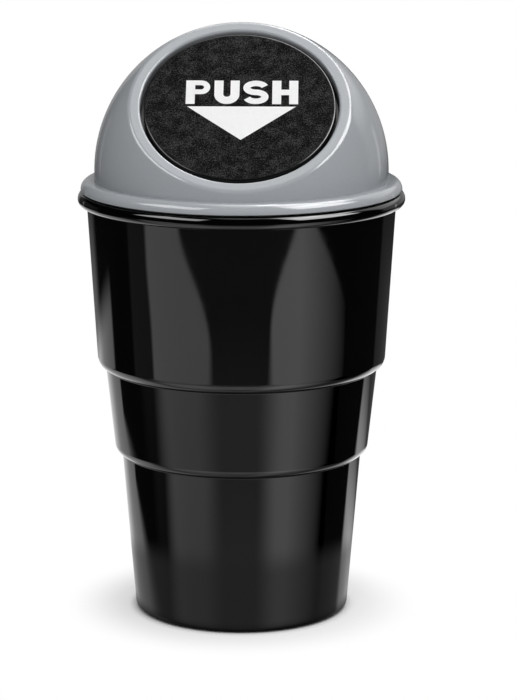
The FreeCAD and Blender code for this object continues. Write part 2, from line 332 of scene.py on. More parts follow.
def dome_end(radius, turn):
    """Angle from the opening's axis at which a ball of this radius meets the level below its equator."""
    across = math.sin(OPENING_TILT)
    along = math.cos(OPENING_TILT) * math.cos(turn)
    size = math.hypot(across, along)
    return math.atan2(along, across) + math.acos(-EQUATOR_DROP / (radius * size))


def dome_column(radius, start, turn):
    """Points down one column of the ball, from the ring to just below the equator."""
    end = dome_end(radius, turn)
    result = []
    for i in range(1, DOME_ROWS + 1):
        a = start + (end - start) * i / DOME_ROWS
        result.append(opening_point(radius * math.sin(a), radius * math.cos(a), turn))
    return result


def lid_foot_outline():
    """(r, z) outline from the dome's outside foot, round the bead and plug, to its inside."""
    plug_r = MOUTH_R - WALL - PLUG_CLEARANCE
    bead_r = MOUTH_R + BEAD_OUT - LID_BEAD_OVERHANG
    channel_in = plug_r + LID_WALL
    channel_out = channel_in + LID_CHANNEL_W
    drop_r = math.sqrt(DOME_R ** 2 - EQUATOR_DROP ** 2)
    drop_in_r = math.sqrt(DOME_IN_R ** 2 - EQUATOR_DROP ** 2)
    return rounded([
        (drop_r, DOME_Z - EQUATOR_DROP, 0),
        (drop_r, CUP_H + LID_BEAD_H, 0),
        (bead_r, CUP_H + LID_BEAD_H, LID_BEAD_ROUND),
        (bead_r, CUP_H + LID_BEAD_LIFT, LID_BEAD_LIFT),
        (channel_out, CUP_H + LID_BEAD_LIFT, 0),
        (channel_out, CUP_H + LID_CHANNEL_H, 0),
        (channel_in, CUP_H + LID_CHANNEL_H, 0),
        (channel_in, CUP_H, 0),
        (plug_r, CUP_H, 0),
        (plug_r, CUP_H - PLUG_DEPTH, PLUG_LEAD_ROUND),
        (drop_in_r, CUP_H - PLUG_DEPTH, 0),
        (drop_in_r, DOME_Z - EQUATOR_DROP, 0),
    ])[1:-1]


def lid_skin():
    """Closed skin of the lid: ring rows turn about the opening's axis, and foot rows about the cup's."""
    ring = ring_outline()
    foot = lid_foot_outline()
    plate_back = RING_FACE - RING_T
    round_c, on_dome = ring_edge()
    in_dome = (on_dome.x, math.sqrt(DOME_IN_R ** 2 - on_dome.x ** 2))
    inside = supported([in_dome, (round_c.x, plate_back), (RING_LEG_R, plate_back)], False)
    outer_start = math.atan2(ring[-1][0], ring[-1][1])
    inner_start = math.atan2(in_dome[0], in_dome[1])
    columns = []
    for k in range(LID_COLUMNS):
        turn = 2 * math.pi * k / LID_COLUMNS
        column = [opening_point(r, w, turn) for r, w in ring]
        column += dome_column(DOME_R, outer_start, turn)
        around = math.atan2(column[-1].y, column[-1].x)
        column += [Vector((r * math.cos(around), r * math.sin(around), z)) for r, z in foot]
        column += reversed(dome_column(DOME_IN_R, inner_start, turn))
        column += [opening_point(r, w, turn) for r, w in inside]
        columns.append(column)
    rows = [[tuple(column[i]) for column in columns] for i in range(len(columns[0]))]
    return [p for row in rows for p in row], join_rows(rows, True)


def eye(radius, hole, x0, x1):
    """Round eye with a hole, along X about the hinge line."""
    outline = [(radius, x0), (radius, x1), (hole, x1), (hole, x0)]
    points, faces = turned(supported(outline, True), EYE_STEPS, True)
    return [(z, HINGE_UP + x, HINGE_W + y) for x, y, z in points], faces


def in_frame(solid):
    """Moves a solid out of the opening's frame."""
    points, faces = solid
    return [tuple(OPENING @ Vector(p)) for p in points], faces


def hinge_bracket(side):
    """Lid bracket: an arm from the ring and the eye that holds the pin."""
    root = math.sqrt(RING_BORE_R ** 2 - BRACKET_X ** 2) + BRACKET_SET_BACK
    end = root + BRACKET_ROOT_L
    top = RING_FACE - RING_T / 2
    x0, x1 = sorted((side * BRACKET_X, side * (BRACKET_X + BRACKET_T)))
    arm_y = HINGE_UP + BRACKET_EYE_R * math.sin(ARM_LEAN)
    arm_reach = BRACKET_EYE_R * math.cos(ARM_LEAN)
    arm = slab([
        (arm_y, HINGE_W - arm_reach),
        (end, RING_LEG_END - BRACKET_ROOT_DROP),
        (end, top),
        (root, top),
        (root, RING_LEG_END),
        (arm_y, HINGE_W + arm_reach),
    ], x0 + HAIR, x1 - HAIR)
    return [in_frame(arm), in_frame(eye(BRACKET_EYE_R, PIN_R + PIN_PRESS_CLEARANCE, x0, x1))]


def dome_lid(material):
    """Dome, ring, bead, plug and hinge brackets."""
    obj = piece("lid_dome", lid_skin(), *hinge_bracket(-1), *hinge_bracket(1), materials=[material])
    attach(obj, "lid")
    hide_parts("dome_lid")


def flap_plate():
    """Round plate with a rounded outer edge."""
    return turned(rounded([
        (0, FLAP_FACE, 0),
        (FLAP_R, FLAP_FACE, FLAP_EDGE_ROUND),
        (FLAP_R, FLAP_BACK, 0),
        (0, FLAP_BACK, 0),
    ]))


def flap_skirt():
    """Skirt and stop flange below the plate, open across the hinge."""
    stop_top = RING_LEG_END - STOP_CLEARANCE
    stop_back = stop_top - STOP_T
    outline = supported([
        (FLAP_R, FLAP_BACK + SUPPORT),
        (FLAP_R, stop_top),
        (RING_BORE_R + STOP_OVERLAP, stop_top),
        (RING_BORE_R + STOP_OVERLAP, stop_back),
        (FLAP_R - FLAP_SKIRT_T, stop_back),
        (FLAP_R - FLAP_SKIRT_T, FLAP_BACK + SUPPORT),
    ], True)
    level = HINGE_UP - SKIRT_DROP
    rows = []
    for k in range(SKIRT_STEPS + 1):
        row = []
        for r, w in outline:
            start = math.acos(level / r)
            turn = start + (2 * math.pi - 2 * start) * k / SKIRT_STEPS
            row.append((r * math.sin(turn), r * math.cos(turn), w))
        rows.append(row)
    count = len(outline)
    last = SKIRT_STEPS * count
    faces = join_rows(rows, False) + [tuple(range(count)), tuple(range(last, last + count))]
    return [p for row in rows for p in row], faces


def flap_ear(side):
    """Ear that turns on the pin."""
    top = FLAP_BACK + FLAP_T / 2
    x0, x1 = sorted((side * EAR_X, side * (EAR_X + EAR_T)))
    low = HINGE_W + EAR_EYE_R * math.sin(ARM_LEAN)
    out = EAR_EYE_R * math.cos(ARM_LEAN)
    web = slab([
        (HINGE_UP - out, low),
        (HINGE_UP + out, low),
        (HINGE_UP + out, top),
        (HINGE_UP - EAR_EYE_R - EAR_HEEL, top),
    ], x0 + HAIR, x1 - HAIR)
    return [web, eye(EAR_EYE_R, PIN_R + PIN_RUN_CLEARANCE, x0, x1)]


def push_flap(face_material, rim_material):
    """Flap: grained face, smooth glossy rim, skirt and ears."""
    solids = [flap_plate(), flap_skirt(), *flap_ear(-1), *flap_ear(1)]
    obj = piece("flap_shell", *solids, place=OPENING, materials=[rim_material, face_material])
    back = OPENING.inverted()
    for polygon in obj.data.polygons:
        local = back @ (polygon.center / MM)
        if local.z > FLAP_FACE - HAIR and math.hypot(local.x, local.y) < FACE_GRAIN_R:
            polygon.material_index = 1
    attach(obj, "flap")
    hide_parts("flap")


# Legend on the flap: a plain functional word and a triangle that points at the side to press
LEGEND_X, LEGEND_T, LEGEND_SINK = 0.55, 0.12, 0.06
WORD_FOOT, WORD_TOP, STEM, BAR = 0.85, 10.95, 2.95, 2.35
P_X, U_X, S_X, H_X = (-18.3, -10.4), (-9.0, -0.75), (0.45, 8.8), (10.0, 18.5)
P_WAIST_DROP, P_BOWL_BAR, P_STEPS, P_HOLE_STEPS = 0.85, 0.86 * BAR, 20, 16
U_HOLLOW_LIFT, U_STEPS, U_HOLLOW_STEPS = 0.1, 24, 18
S_START, S_MIDDLE, S_SWEEP, S_STEPS = 18, 90, 252, 48
TRIANGLE_HALF, TRIANGLE_TOP, TRIANGLE_TIP = 17.75, -0.25, -14.4


def letter_p():
    """A stem with a round bowl and its hole."""
    x0, x1 = P_X
    top, foot, mid = WORD_TOP, WORD_FOOT, (WORD_TOP + WORD_FOOT) / 2 - P_WAIST_DROP
    outer = (top - mid) / 2
    inner = outer - P_BOWL_BAR
    centre = top - outer
    bowl = arc((x1 - outer, centre), outer, math.pi / 2, -math.pi / 2, P_STEPS)
    hole = arc((x1 - outer, centre), inner, math.pi / 2, -math.pi / 2, P_HOLE_STEPS)
    shape = [(x0, foot), (x0, top), *bowl, (x0 + STEM, mid), (x0 + STEM, foot)]
    return [shape, [(x0 + STEM, centre - inner), (x0 + STEM, centre + inner), *hole]]


def letter_u():
    """Two stems on a round foot."""
    x0, x1 = U_X
    outer = (x1 - x0) / 2
    inner = outer - STEM
    centre = ((x0 + x1) / 2, WORD_FOOT + outer)
    low = arc(centre, outer, math.pi, 2 * math.pi, U_STEPS)
    high = arc((centre[0], centre[1] + U_HOLLOW_LIFT), inner, 2 * math.pi, math.pi, U_HOLLOW_STEPS)
    return [[(x0, WORD_TOP), *low, (x1, WORD_TOP), (x1 - STEM, WORD_TOP), *high, (x0 + STEM, WORD_TOP)]]


def letter_s():
    """A band of even width along two opposed bends."""
    x0, x1 = S_X
    half = BAR / 2
    rise = (WORD_TOP - WORD_FOOT - BAR) / 4
    wide = (x1 - x0 - BAR) / 2
    middle = ((x0 + x1) / 2, (WORD_TOP + WORD_FOOT) / 2)
    line = []
    for i in range(S_STEPS + 1):
        t = i / S_STEPS
        if t < 0.5:
            a = math.radians(S_START + S_SWEEP * t * 2)
            shift = rise
        else:
            a = math.radians(S_MIDDLE - S_SWEEP * (t - 0.5) * 2)
            shift = -rise
        line.append((middle[0] + wide * math.cos(a), middle[1] + shift + rise * math.sin(a)))
    left, right = [], []
    for i, here in enumerate(line):
        a, b = line[max(i - 1, 0)], line[min(i + 1, len(line) - 1)]
        run = Vector((b[0] - a[0], b[1] - a[1])).normalized()
        side = Vector((-run.y, run.x)) * half
        left.append((here[0] + side.x, here[1] + side.y))
        right.append((here[0] - side.x, here[1] - side.y))
    return [left + right[::-1]]


def letter_h():
    """Two stems and a bar."""
    x0, x1 = H_X
    top, foot, mid, half = WORD_TOP, WORD_FOOT, (WORD_TOP + WORD_FOOT) / 2, BAR / 2
    return [[
        (x0, foot), (x0, top), (x0 + STEM, top), (x0 + STEM, mid + half), (x1 - STEM, mid + half),
        (x1 - STEM, top), (x1, top), (x1, foot), (x1 - STEM, foot), (x1 - STEM, mid - half),
        (x0 + STEM, mid - half), (x0 + STEM, foot),
    ]]


def press_triangle():
    """Points down at the side to press."""
    return [[(-TRIANGLE_HALF, TRIANGLE_TOP), (TRIANGLE_HALF, TRIANGLE_TOP), (0, TRIANGLE_TIP)]]


def legend(material):
    """Printed word and triangle, a thin layer on the flap's face."""
    curve = bpy.data.curves.new("legend_outline", "CURVE")
    curve.dimensions = "2D"
    curve.fill_mode = "BOTH"
    curve.extrude = LEGEND_T * MM / 2
    for shape in (letter_p(), letter_u(), letter_s(), letter_h(), press_triangle()):
        for loop in shape:
            spline = curve.splines.new("POLY")
            spline.points.add(len(loop) - 1)
            spline.use_cyclic_u = True
            for point, (x, y) in zip(spline.points, loop):
                point.co = ((x + LEGEND_X) * MM, y * MM, 0, 1)
    holder = bpy.data.objects.new("legend_outline", curve)
    bpy.context.scene.collection.objects.link(holder)
    graph = bpy.context.evaluated_depsgraph_get()
    mesh = bpy.data.meshes.new_from_object(holder.evaluated_get(graph))
    bpy.data.objects.remove(holder)
    place = OPENING @ Matrix.Translation((0, 0, FLAP_FACE - LEGEND_SINK + LEGEND_T / 2))
    place.translation = place.translation * MM
    mesh.transform(place)
    mesh.materials.clear()
    mesh.materials.append(material)
    obj = bpy.data.objects.new("flap_legend", mesh)
    bpy.context.scene.collection.objects.link(obj)
    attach(obj, "flap")


def hinge_point(x, away, turn):
    """Point in the part's frame at this angle round the hinge line, in the opening's frame."""
    return OPENING @ Vector((x, HINGE_UP + away * math.sin(turn), HINGE_W + away * math.cos(turn)))


def return_spring(material):
    """Torsion spring: coil round the pin, one leg under the ring and one under the flap."""
    half = COIL_TURNS * COIL_PITCH / 2
    lid_leg = RING_LEG_R - HINGE_UP - WIRE_R
    lid_lean = math.asin((RING_LEG_END - WIRE_R - SPRING_TOUCH - HINGE_W - COIL_R) / (RING_BORE_R - HINGE_UP))
    flap_lean = math.asin((FLAP_BACK - WIRE_R - SPRING_TOUCH - HINGE_W - COIL_R) / FLAP_LEG_L)
    path = []
    start = hinge_point(-half, COIL_R, 0)
    out = OPENING.to_3x3() @ Vector((0, math.cos(lid_lean), math.sin(lid_lean)))
    path += [start + out * lid_leg * (1 - i / LID_LEG_STEPS) for i in range(LID_LEG_STEPS)]
    steps = COIL_TURNS * COIL_STEPS
    for i in range(steps + 1):
        turn = -2 * math.pi * COIL_TURNS * i / steps
        path.append(hinge_point(-half + COIL_TURNS * COIL_PITCH * i / steps, COIL_R, turn))
    end = path[-1]
    out = OPENING.to_3x3() @ Vector((0, -math.cos(flap_lean), math.sin(flap_lean)))
    path += [end + out * FLAP_LEG_L * (i / FLAP_LEG_STEPS) for i in range(1, FLAP_LEG_STEPS + 1)]
    obj = piece("return_spring_wire", tube(path, WIRE_R), materials=[material])
    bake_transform(obj)
    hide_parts("return_spring")


def node_material(name):
    """New material with its node tree and shader."""
    material = bpy.data.materials.new(name)
    material.use_nodes = True
    tree = material.node_tree
    return material, tree, tree.nodes["Principled BSDF"]


def feed(tree, socket, given):
    """Links an input to a socket, or sets it to a value."""
    if isinstance(given, bpy.types.NodeSocket):
        tree.links.new(given, socket)
    else:
        socket.default_value = given


def add(tree, kind, **inputs):
    """New node, with its inputs given by name as sockets or values."""
    node = tree.nodes.new(kind)
    for name, given in inputs.items():
        feed(tree, node.inputs[name.replace("_", " ")], given)
    return node


def value(tree, kind, *inputs):
    """Math node; each input is a number or a socket."""
    node = tree.nodes.new("ShaderNodeMath")
    node.operation = kind
    for socket, given in zip(node.inputs, inputs):
        feed(tree, socket, given)
    return node.outputs[0]


def ramp(tree, source, low, high, low_value, high_value):
    """Maps the range from low to high to a range of values."""
    node = tree.nodes.new("ShaderNodeMapRange")
    names = ("Value", "From Min", "From Max", "To Min", "To Max")
    for name, given in zip(names, (source, low, high, low_value, high_value)):
        feed(tree, node.inputs[name], given)
    return node.outputs["Result"]


def rise(tree, source, low, high):
    """Soft step from 0 at low to 1 at high."""
    node = tree.nodes.new("ShaderNodeMapRange")
    node.interpolation_type = "SMOOTHSTEP"
    for name, given in (("Value", source), ("From Min", low), ("From Max", high)):
        feed(tree, node.inputs[name], given)
    return node.outputs["Result"]


def band(tree, source, low, high, soft):
    """1 between low and high, fading to 0 over the soft width at each end."""
    up = rise(tree, source, low - soft / 2, low + soft / 2)
    down = rise(tree, source, high - soft / 2, high + soft / 2)
    return value(tree, "SUBTRACT", up, down)


# Sockets of the mix node: its factor and both ends, then its result
MIX_NUMBERS, MIX_NUMBER_OUT = (0, 2, 3), 0
MIX_COLOURS, MIX_COLOUR_OUT = (0, 6, 7), 2


def choose(tree, factor, plain, chosen):
    """Plain number at factor 0, chosen at factor 1."""
    node = tree.nodes.new("ShaderNodeMix")
    for index, given in zip(MIX_NUMBERS, (factor, plain, chosen)):
        feed(tree, node.inputs[index], given)
    return node.outputs[MIX_NUMBER_OUT]


def colour_mix(tree, factor, dark, pale):
    """Blends two colours by a factor."""
    node = tree.nodes.new("ShaderNodeMix")
    node.data_type = "RGBA"
    for index, given in zip(MIX_COLOURS, (factor, (*dark, 1), (*pale, 1))):
        feed(tree, node.inputs[index], given)
    return node.outputs[MIX_COLOUR_OUT]


def mixed(tree, factor, plain, chosen):
    """Plain shader at factor 0, chosen at factor 1."""
    node = tree.nodes.new("ShaderNodeMixShader")
    for socket, given in zip(node.inputs, (factor, plain, chosen)):
        feed(tree, socket, given)
    return node.outputs[0]


def glow(tree, level):
    """White emission; the level is a number or a socket."""
    return add(tree, "ShaderNodeEmission", Strength=level).outputs[0]


def place_noise(tree, scale, detail, roughness=0.5):
    """Noise in the part's own coordinates; scale is in cells per metre."""
    place = tree.nodes.new("ShaderNodeTexCoord").outputs["Object"]
    noise = add(tree, "ShaderNodeTexNoise", Vector=place, Scale=scale, Detail=detail, Roughness=roughness)
    return noise.outputs["Fac"]


def dress(tree, shader, colour, rough, height, depth, strength=1.0):
    """Feeds the shader its colour, its roughness and a bump with this depth in metres."""
    relief = add(tree, "ShaderNodeBump", Height=height, Distance=depth, Strength=strength)
    tree.links.new(colour, shader.inputs["Base Color"])
    tree.links.new(rough, shader.inputs["Roughness"])
    tree.links.new(relief.outputs["Normal"], shader.inputs["Normal"])


# Most of a noise lies between these two values.
NOISE_RANGE = (0.3, 0.7)

# Grain of the flap's face: cloudy drifts shift the threshold of the pale flecks.
DRIFT_NOISE, DRIFT_RANGE, DRIFT_SHIFT = (260, 3, 0.6), (0.36, 0.64), 0.045
FLECK_NOISE, FLECK_RANGE = (2600, 3, 0.75), (0.485, 0.65)
FLECK_DARK, FLECK_PALE = (0.0012, 0.0012, 0.0012), (0.066, 0.066, 0.067)
FACE_SPECULAR, FACE_ROUGHNESS, FACE_DEPTH, FACE_STRENGTH = 0.02, (0.62, 0.8), 0.00008, 0.6

# Steel: its marks are stretched along X. Each has a dark and a pale tone and its least roughness.
STEEL_STRETCH, STEEL_DETAIL, STEEL_ROUGH_SPREAD, STEEL_DEPTH = (300, 5000, 5000), 3.0, 0.12, 0.000008
WIRE_STEEL = ((0.42, 0.42, 0.43), (0.55, 0.55, 0.56), 0.25)
PIN_STEEL = ((0.5, 0.5, 0.51), (0.66, 0.66, 0.67), 0.2)


def plastic(name, tone, dark, pale, gloss, roughness, grain, depth):
    """Even finish from three noises, each given as its cells per metre and its detail."""
    material, tree, shader = node_material(name)
    colour = colour_mix(tree, place_noise(tree, *tone), dark, pale)
    rough = ramp(tree, place_noise(tree, *gloss), *NOISE_RANGE, *roughness)
    dress(tree, shader, colour, rough, place_noise(tree, *grain), depth)
    return material


def cup_material():
    """Black moulded plastic, polished, with a faint orange peel."""
    return plastic(
        "cup_black_gloss",
        tone=(90, 3), dark=(0.0010, 0.0010, 0.0011), pale=(0.0017, 0.0017, 0.0018),
        gloss=(220, 4), roughness=(0.022, 0.036),
        grain=(420, 2), depth=0.0000004,
    )


def lid_material():
    """Silver-grey moulded plastic with a fine pigment and a soft gloss."""
    return plastic(
        "lid_silver_grey",
        tone=(1400, 2), dark=(0.385, 0.405, 0.428), pale=(0.425, 0.445, 0.468),
        gloss=(260, 3), roughness=(0.09, 0.13),
        grain=(700, 2), depth=0.000008,
    )


def flap_rim_material():
    """Smooth black plastic of the flap's edge and back."""
    return plastic(
        "flap_black_smooth",
        tone=(150, 3), dark=(0.0025, 0.0025, 0.0027), pale=(0.0045, 0.0045, 0.0047),
        gloss=(300, 4), roughness=(0.14, 0.22),
        grain=(600, 2), depth=0.000006,
    )


def legend_material():
    """White screen ink, slightly uneven."""
    return plastic(
        "legend_white_ink",
        tone=(900, 3), dark=(0.80, 0.80, 0.80), pale=(0.88, 0.88, 0.88),
        gloss=(900, 3), roughness=(0.45, 0.6),
        grain=(3000, 2), depth=0.00001,
    )


def flap_face_material():
    """Black grained plastic with pale flecks in cloudy drifts."""
    material, tree, shader = node_material("flap_black_grain")
    fleck = place_noise(tree, *FLECK_NOISE)
    drift = ramp(tree, place_noise(tree, *DRIFT_NOISE), *DRIFT_RANGE, -DRIFT_SHIFT, DRIFT_SHIFT)
    specks = ramp(tree, value(tree, "ADD", fleck, drift), *FLECK_RANGE, 0, 1)
    colour = colour_mix(tree, specks, FLECK_DARK, FLECK_PALE)
    rough = ramp(tree, fleck, *NOISE_RANGE, *FACE_ROUGHNESS)
    dress(tree, shader, colour, rough, fleck, FACE_DEPTH, FACE_STRENGTH)
    shader.inputs["Specular IOR Level"].default_value = FACE_SPECULAR
    return material


def steel_material(name, dark, pale, roughness):
    """Drawn steel with fine marks along X."""
    material, tree, shader = node_material(name)
    place = tree.nodes.new("ShaderNodeTexCoord").outputs["Object"]
    stretched = add(tree, "ShaderNodeMapping", Vector=place, Scale=STEEL_STRETCH).outputs["Vector"]
    noise = add(tree, "ShaderNodeTexNoise", Vector=stretched, Scale=1.0, Detail=STEEL_DETAIL)
    marks = noise.outputs["Fac"]
    colour = colour_mix(tree, marks, dark, pale)
    rough = ramp(tree, marks, *NOISE_RANGE, roughness, roughness + STEEL_ROUGH_SPREAD)
    dress(tree, shader, colour, rough, marks, STEEL_DEPTH)
    shader.inputs["Metallic"].default_value = 1.0
    return material


def build_object():
    """All the pieces of the bin."""
    cup(cup_material())
    dome_lid(lid_material())
    push_flap(flap_face_material(), flap_rim_material())
    legend(legend_material())
    return_spring(steel_material("spring_wire", *WIRE_STEEL))
    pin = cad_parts["hinge_pin"]
    pin.data.materials.clear()
    pin.data.materials.append(steel_material("pin_ground_steel", *PIN_STEEL))


# Camera, worked out from the photo's rim and base ellipses
CAMERA_DISTANCE, CAMERA_HEIGHT = 1005.3, 308.4
CAMERA_PITCH, CAMERA_AZIMUTH = math.radians(12.3), math.radians(1.5)
CAMERA_LENS, CAMERA_SHIFT_X, CAMERA_REACH_M = 155.8, 0.0243, 100
SENSOR = 36.0


def add_camera():
    """The photo's camera."""
    data = bpy.data.cameras.new("camera")
    data.sensor_fit = "AUTO"
    data.sensor_width = SENSOR
    data.lens = CAMERA_LENS
    data.shift_x = CAMERA_SHIFT_X
    data.clip_end = CAMERA_REACH_M
    camera = bpy.data.objects.new("camera", data)
    bpy.context.scene.collection.objects.link(camera)
    camera.location = (
        CAMERA_DISTANCE * MM * math.sin(CAMERA_AZIMUTH),
        -CAMERA_DISTANCE * MM * math.cos(CAMERA_AZIMUTH),
        CAMERA_HEIGHT * MM,
    )
    camera.rotation_euler = (math.pi / 2 - CAMERA_PITCH, 0, CAMERA_AZIMUTH)
    bpy.context.scene.camera = camera


# Soft boxes above the table, seen only in reflections: azimuth from the camera's side, positive to the
# right, and elevation, in degrees, then the soft edge's width and the strength.
SOFT_BOXES = (
    ("left strip", (-90, -32), (34, 60), 6, 6.5),
    ("right strip", (46, 104), (32, 64), 6, 11.0),
    ("upper right", (60, 112), (60, 78), 8, 8.0),
    ("right rear", (118, 165), (14, 52), 10, 1.2),
    ("right rear, high", (108, 174), (48, 76), 8, 9.0),
    ("overhead", (-190, 190), (80, 100), 8, 1.9),
    ("right rear, low", (118, 172), (-6, 14), 8, 0.35),
    ("left rear, low", (-172, -118), (-6, 14), 8, 0.05),
    ("right streak", (137, 140), (-8, 6), 2, 0.8),
    ("left streak", (-145, -142), (-8, 6), 2, 0.3),
    ("left edge", (-190, -158), (-8, 40), 8, 0.3),
)
REAR_FROM, REAR_SIDE_SOFT, REAR_LEVEL = 158, 20, 4.0
REAR_LOW, REAR_HIGH, REAR_SOFT = 38, 80, 12
GLOW = 0.012

# Azimuths run to 180 degrees, so this one lies past the rear.
PAST_REAR = 200

# At table height the studio changes with the elevation, so each value is given at these four.
LOW_ELEVATIONS = (-16.1, -17.3, -18.6, -25.5)
LOW_SOFT, LOW_STUDIO_TOP = (4, 3.5, 3, 28), (-14, -9)
LEFT_PANEL_OUTER, RIGHT_PANEL_OUTER = (-75.5, -73.5, -73, -76), 91
LEFT_PANEL_LEVEL, RIGHT_PANEL_LEVEL = (1.15, 1.15, 1.15, 0.8), (1.5, 1.6, 1.55, 1.42)
RIGHT_PANEL_FALL_FROM, RIGHT_PANEL_FALL = 48, 0.036
RIGHT_PANEL_TOP, RIGHT_PANEL_SLOPE, RIGHT_PANEL_FADE = -15.4, -0.0106, 0.07
FRONT_LEVEL = (0.08, 0.08, 0.08, 0.36)
LEFT_STRIP_OUTER, LEFT_STRIP_LEVEL = -93.5, (0.1, 0.1, 0.1, 0.0)
LEFT_REAR_FROM, LEFT_REAR_LEVEL = (-121, -127, -128, -93), (0.7, 0.7, 0.8, 1.2)
LEFT_REAR_TOP, LEFT_REAR_SLOPE, LEFT_REAR_FADE = -18.0, -0.03, 0.55
LEFT_EDGE_FROM, LEFT_EDGE_SOFT, LEFT_EDGE_LEVEL = -147, 14, 0.28
RIGHT_REAR_FROM, RIGHT_REAR_LEVEL = (134, 133, 132, 131), (0.08, 0.6, 1.3, 2.0)

# Inner borders of the panels: they bend between two elevations, from one azimuth to the next, and then
# run straight to the last azimuth at the lowest elevation.
LEFT_PANEL_INNER = (-16.0, -19.2, -47.5, -23.0, -28.0)
RIGHT_PANEL_INNER = (-15.6, -18.8, 47.0, 24.5, 27.5)
TABLE_SEEN, TABLE_SOFT = (-72, -34), 7
TABLE_LEVEL, TABLE_FALL, TABLE_LEAST = 0.8, 0.0077, 0.15


def by_height(tree, elevation, given):
    """Value that runs straight from one of the low elevations to the next."""
    total = given[0]
    for i in range(len(LOW_ELEVATIONS) - 1):
        step = ramp(tree, elevation, LOW_ELEVATIONS[i], LOW_ELEVATIONS[i + 1], 0, given[i + 1] - given[i])
        total = value(tree, "ADD", step, total)
    return total


def bent_border(tree, elevation, start, end, first, second, last):
    """Azimuth of a panel's inner border at this elevation."""
    down = value(tree, "MULTIPLY", elevation, -1)
    bend = rise(tree, down, -start, -end)
    run = ramp(tree, down, -end, -LOW_ELEVATIONS[-1], 0, last - second)
    total = value(tree, "MULTIPLY_ADD", bend, second - first, first)
    return value(tree, "ADD", run, total)


def panel(tree, azimuth, low, high, soft, level):
    """Level between two azimuths that may themselves be sockets."""
    half = value(tree, "MULTIPLY", soft, 0.5)
    up = rise(tree, azimuth, value(tree, "SUBTRACT", low, half), value(tree, "ADD", low, half))
    down = rise(tree, azimuth, value(tree, "SUBTRACT", high, half), value(tree, "ADD", high, half))
    return value(tree, "MULTIPLY", value(tree, "SUBTRACT", up, down), level)


def below_edge(tree, elevation, top, fade, level):
    """Level under a top edge, lost over the fade on each side of it."""
    lost = rise(tree, elevation, value(tree, "SUBTRACT", top, fade), value(tree, "ADD", top, fade))
    return value(tree, "MULTIPLY", level, value(tree, "SUBTRACT", 1, lost))


def right_panel_level(tree, azimuth, elevation, level):
    """The right panel dims toward the right, and its top edge slopes."""
    past = value(tree, "MAXIMUM", value(tree, "SUBTRACT", azimuth, RIGHT_PANEL_FALL_FROM), 0)
    level = value(tree, "SUBTRACT", level, value(tree, "MULTIPLY", past, RIGHT_PANEL_FALL))
    top = value(tree, "MULTIPLY_ADD", azimuth, RIGHT_PANEL_SLOPE, RIGHT_PANEL_TOP)
    return below_edge(tree, elevation, top, RIGHT_PANEL_FADE, level)


def left_rear_level(tree, azimuth, elevation, level):
    """The left rear ends at a top edge that slopes."""
    top = value(tree, "MULTIPLY_ADD", azimuth, LEFT_REAR_SLOPE, LEFT_REAR_TOP)
    return below_edge(tree, elevation, top, LEFT_REAR_FADE, level)


def table_light(tree, azimuth, elevation):
    """The white table, dimmer away from the front."""
    fall = value(tree, "MULTIPLY_ADD", value(tree, "ABSOLUTE", azimuth), -TABLE_FALL, 1)
    fall = value(tree, "MAXIMUM", fall, TABLE_LEAST)
    return value(tree, "MULTIPLY", band(tree, elevation, *TABLE_SEEN, TABLE_SOFT), fall)


def low_studio(tree, azimuth, elevation):
    """Table level: a dim front, a lit panel on each side, black flags beside them, and a lit rear."""
    at = {
        name: by_height(tree, elevation, given)
        for name, given in (
            ("soft", LOW_SOFT),
            ("left outer", LEFT_PANEL_OUTER),
            ("left level", LEFT_PANEL_LEVEL),
            ("right level", RIGHT_PANEL_LEVEL),
            ("front level", FRONT_LEVEL),
            ("strip level", LEFT_STRIP_LEVEL),
            ("left rear", LEFT_REAR_FROM),
            ("left rear level", LEFT_REAR_LEVEL),
            ("right rear", RIGHT_REAR_FROM),
            ("right rear level", RIGHT_REAR_LEVEL),
        )
    }
    left_inner = bent_border(tree, elevation, *LEFT_PANEL_INNER)
    right_inner = bent_border(tree, elevation, *RIGHT_PANEL_INNER)
    right_level = right_panel_level(tree, azimuth, elevation, at["right level"])
    rear_level = left_rear_level(tree, azimuth, elevation, at["left rear level"])
    parts = (
        (at["left outer"], left_inner, at["soft"], at["left level"]),
        (left_inner, right_inner, at["soft"], at["front level"]),
        (right_inner, RIGHT_PANEL_OUTER, at["soft"], right_level),
        (LEFT_STRIP_OUTER, at["left outer"], at["soft"], at["strip level"]),
        (-PAST_REAR, at["left rear"], at["soft"], rear_level),
        (at["right rear"], PAST_REAR, at["soft"], at["right rear level"]),
        (-PAST_REAR, LEFT_EDGE_FROM, LEFT_EDGE_SOFT, LEFT_EDGE_LEVEL),
    )
    total = GLOW
    for part in parts:
        total = value(tree, "ADD", panel(tree, azimuth, *part), total)
    total = value(tree, "MULTIPLY_ADD", table_light(tree, azimuth, elevation), TABLE_LEVEL, total)
    below = value(tree, "SUBTRACT", 1, rise(tree, elevation, *LOW_STUDIO_TOP))
    return value(tree, "MULTIPLY", total, below)


def studio_light(tree, x, y, z):
    """Brightness of the studio by direction, for reflections."""
    azimuth = value(tree, "DEGREES", value(tree, "ARCTAN2", x, value(tree, "MULTIPLY", y, -1)))
    elevation = value(tree, "DEGREES", value(tree, "ARCSINE", z))
    total = low_studio(tree, azimuth, elevation)
    for _, sides, heights, soft, strength in SOFT_BOXES:
        across = band(tree, azimuth, *sides, soft)
        box = value(tree, "MULTIPLY", across, band(tree, elevation, *heights, soft))
        total = value(tree, "MULTIPLY_ADD", box, strength, total)
    half = REAR_SIDE_SOFT / 2
    behind = rise(tree, value(tree, "ABSOLUTE", azimuth), REAR_FROM - half, REAR_FROM + half)
    rear = value(tree, "MULTIPLY", behind, band(tree, elevation, REAR_LOW, REAR_HIGH, REAR_SOFT))
    return value(tree, "MULTIPLY_ADD", rear, REAR_LEVEL, total)


# White of the background, and the even light for matt surfaces with what is added toward the right
WHITE, AMBIENT, AMBIENT_RIGHT = 1.0, 0.33, 0.22

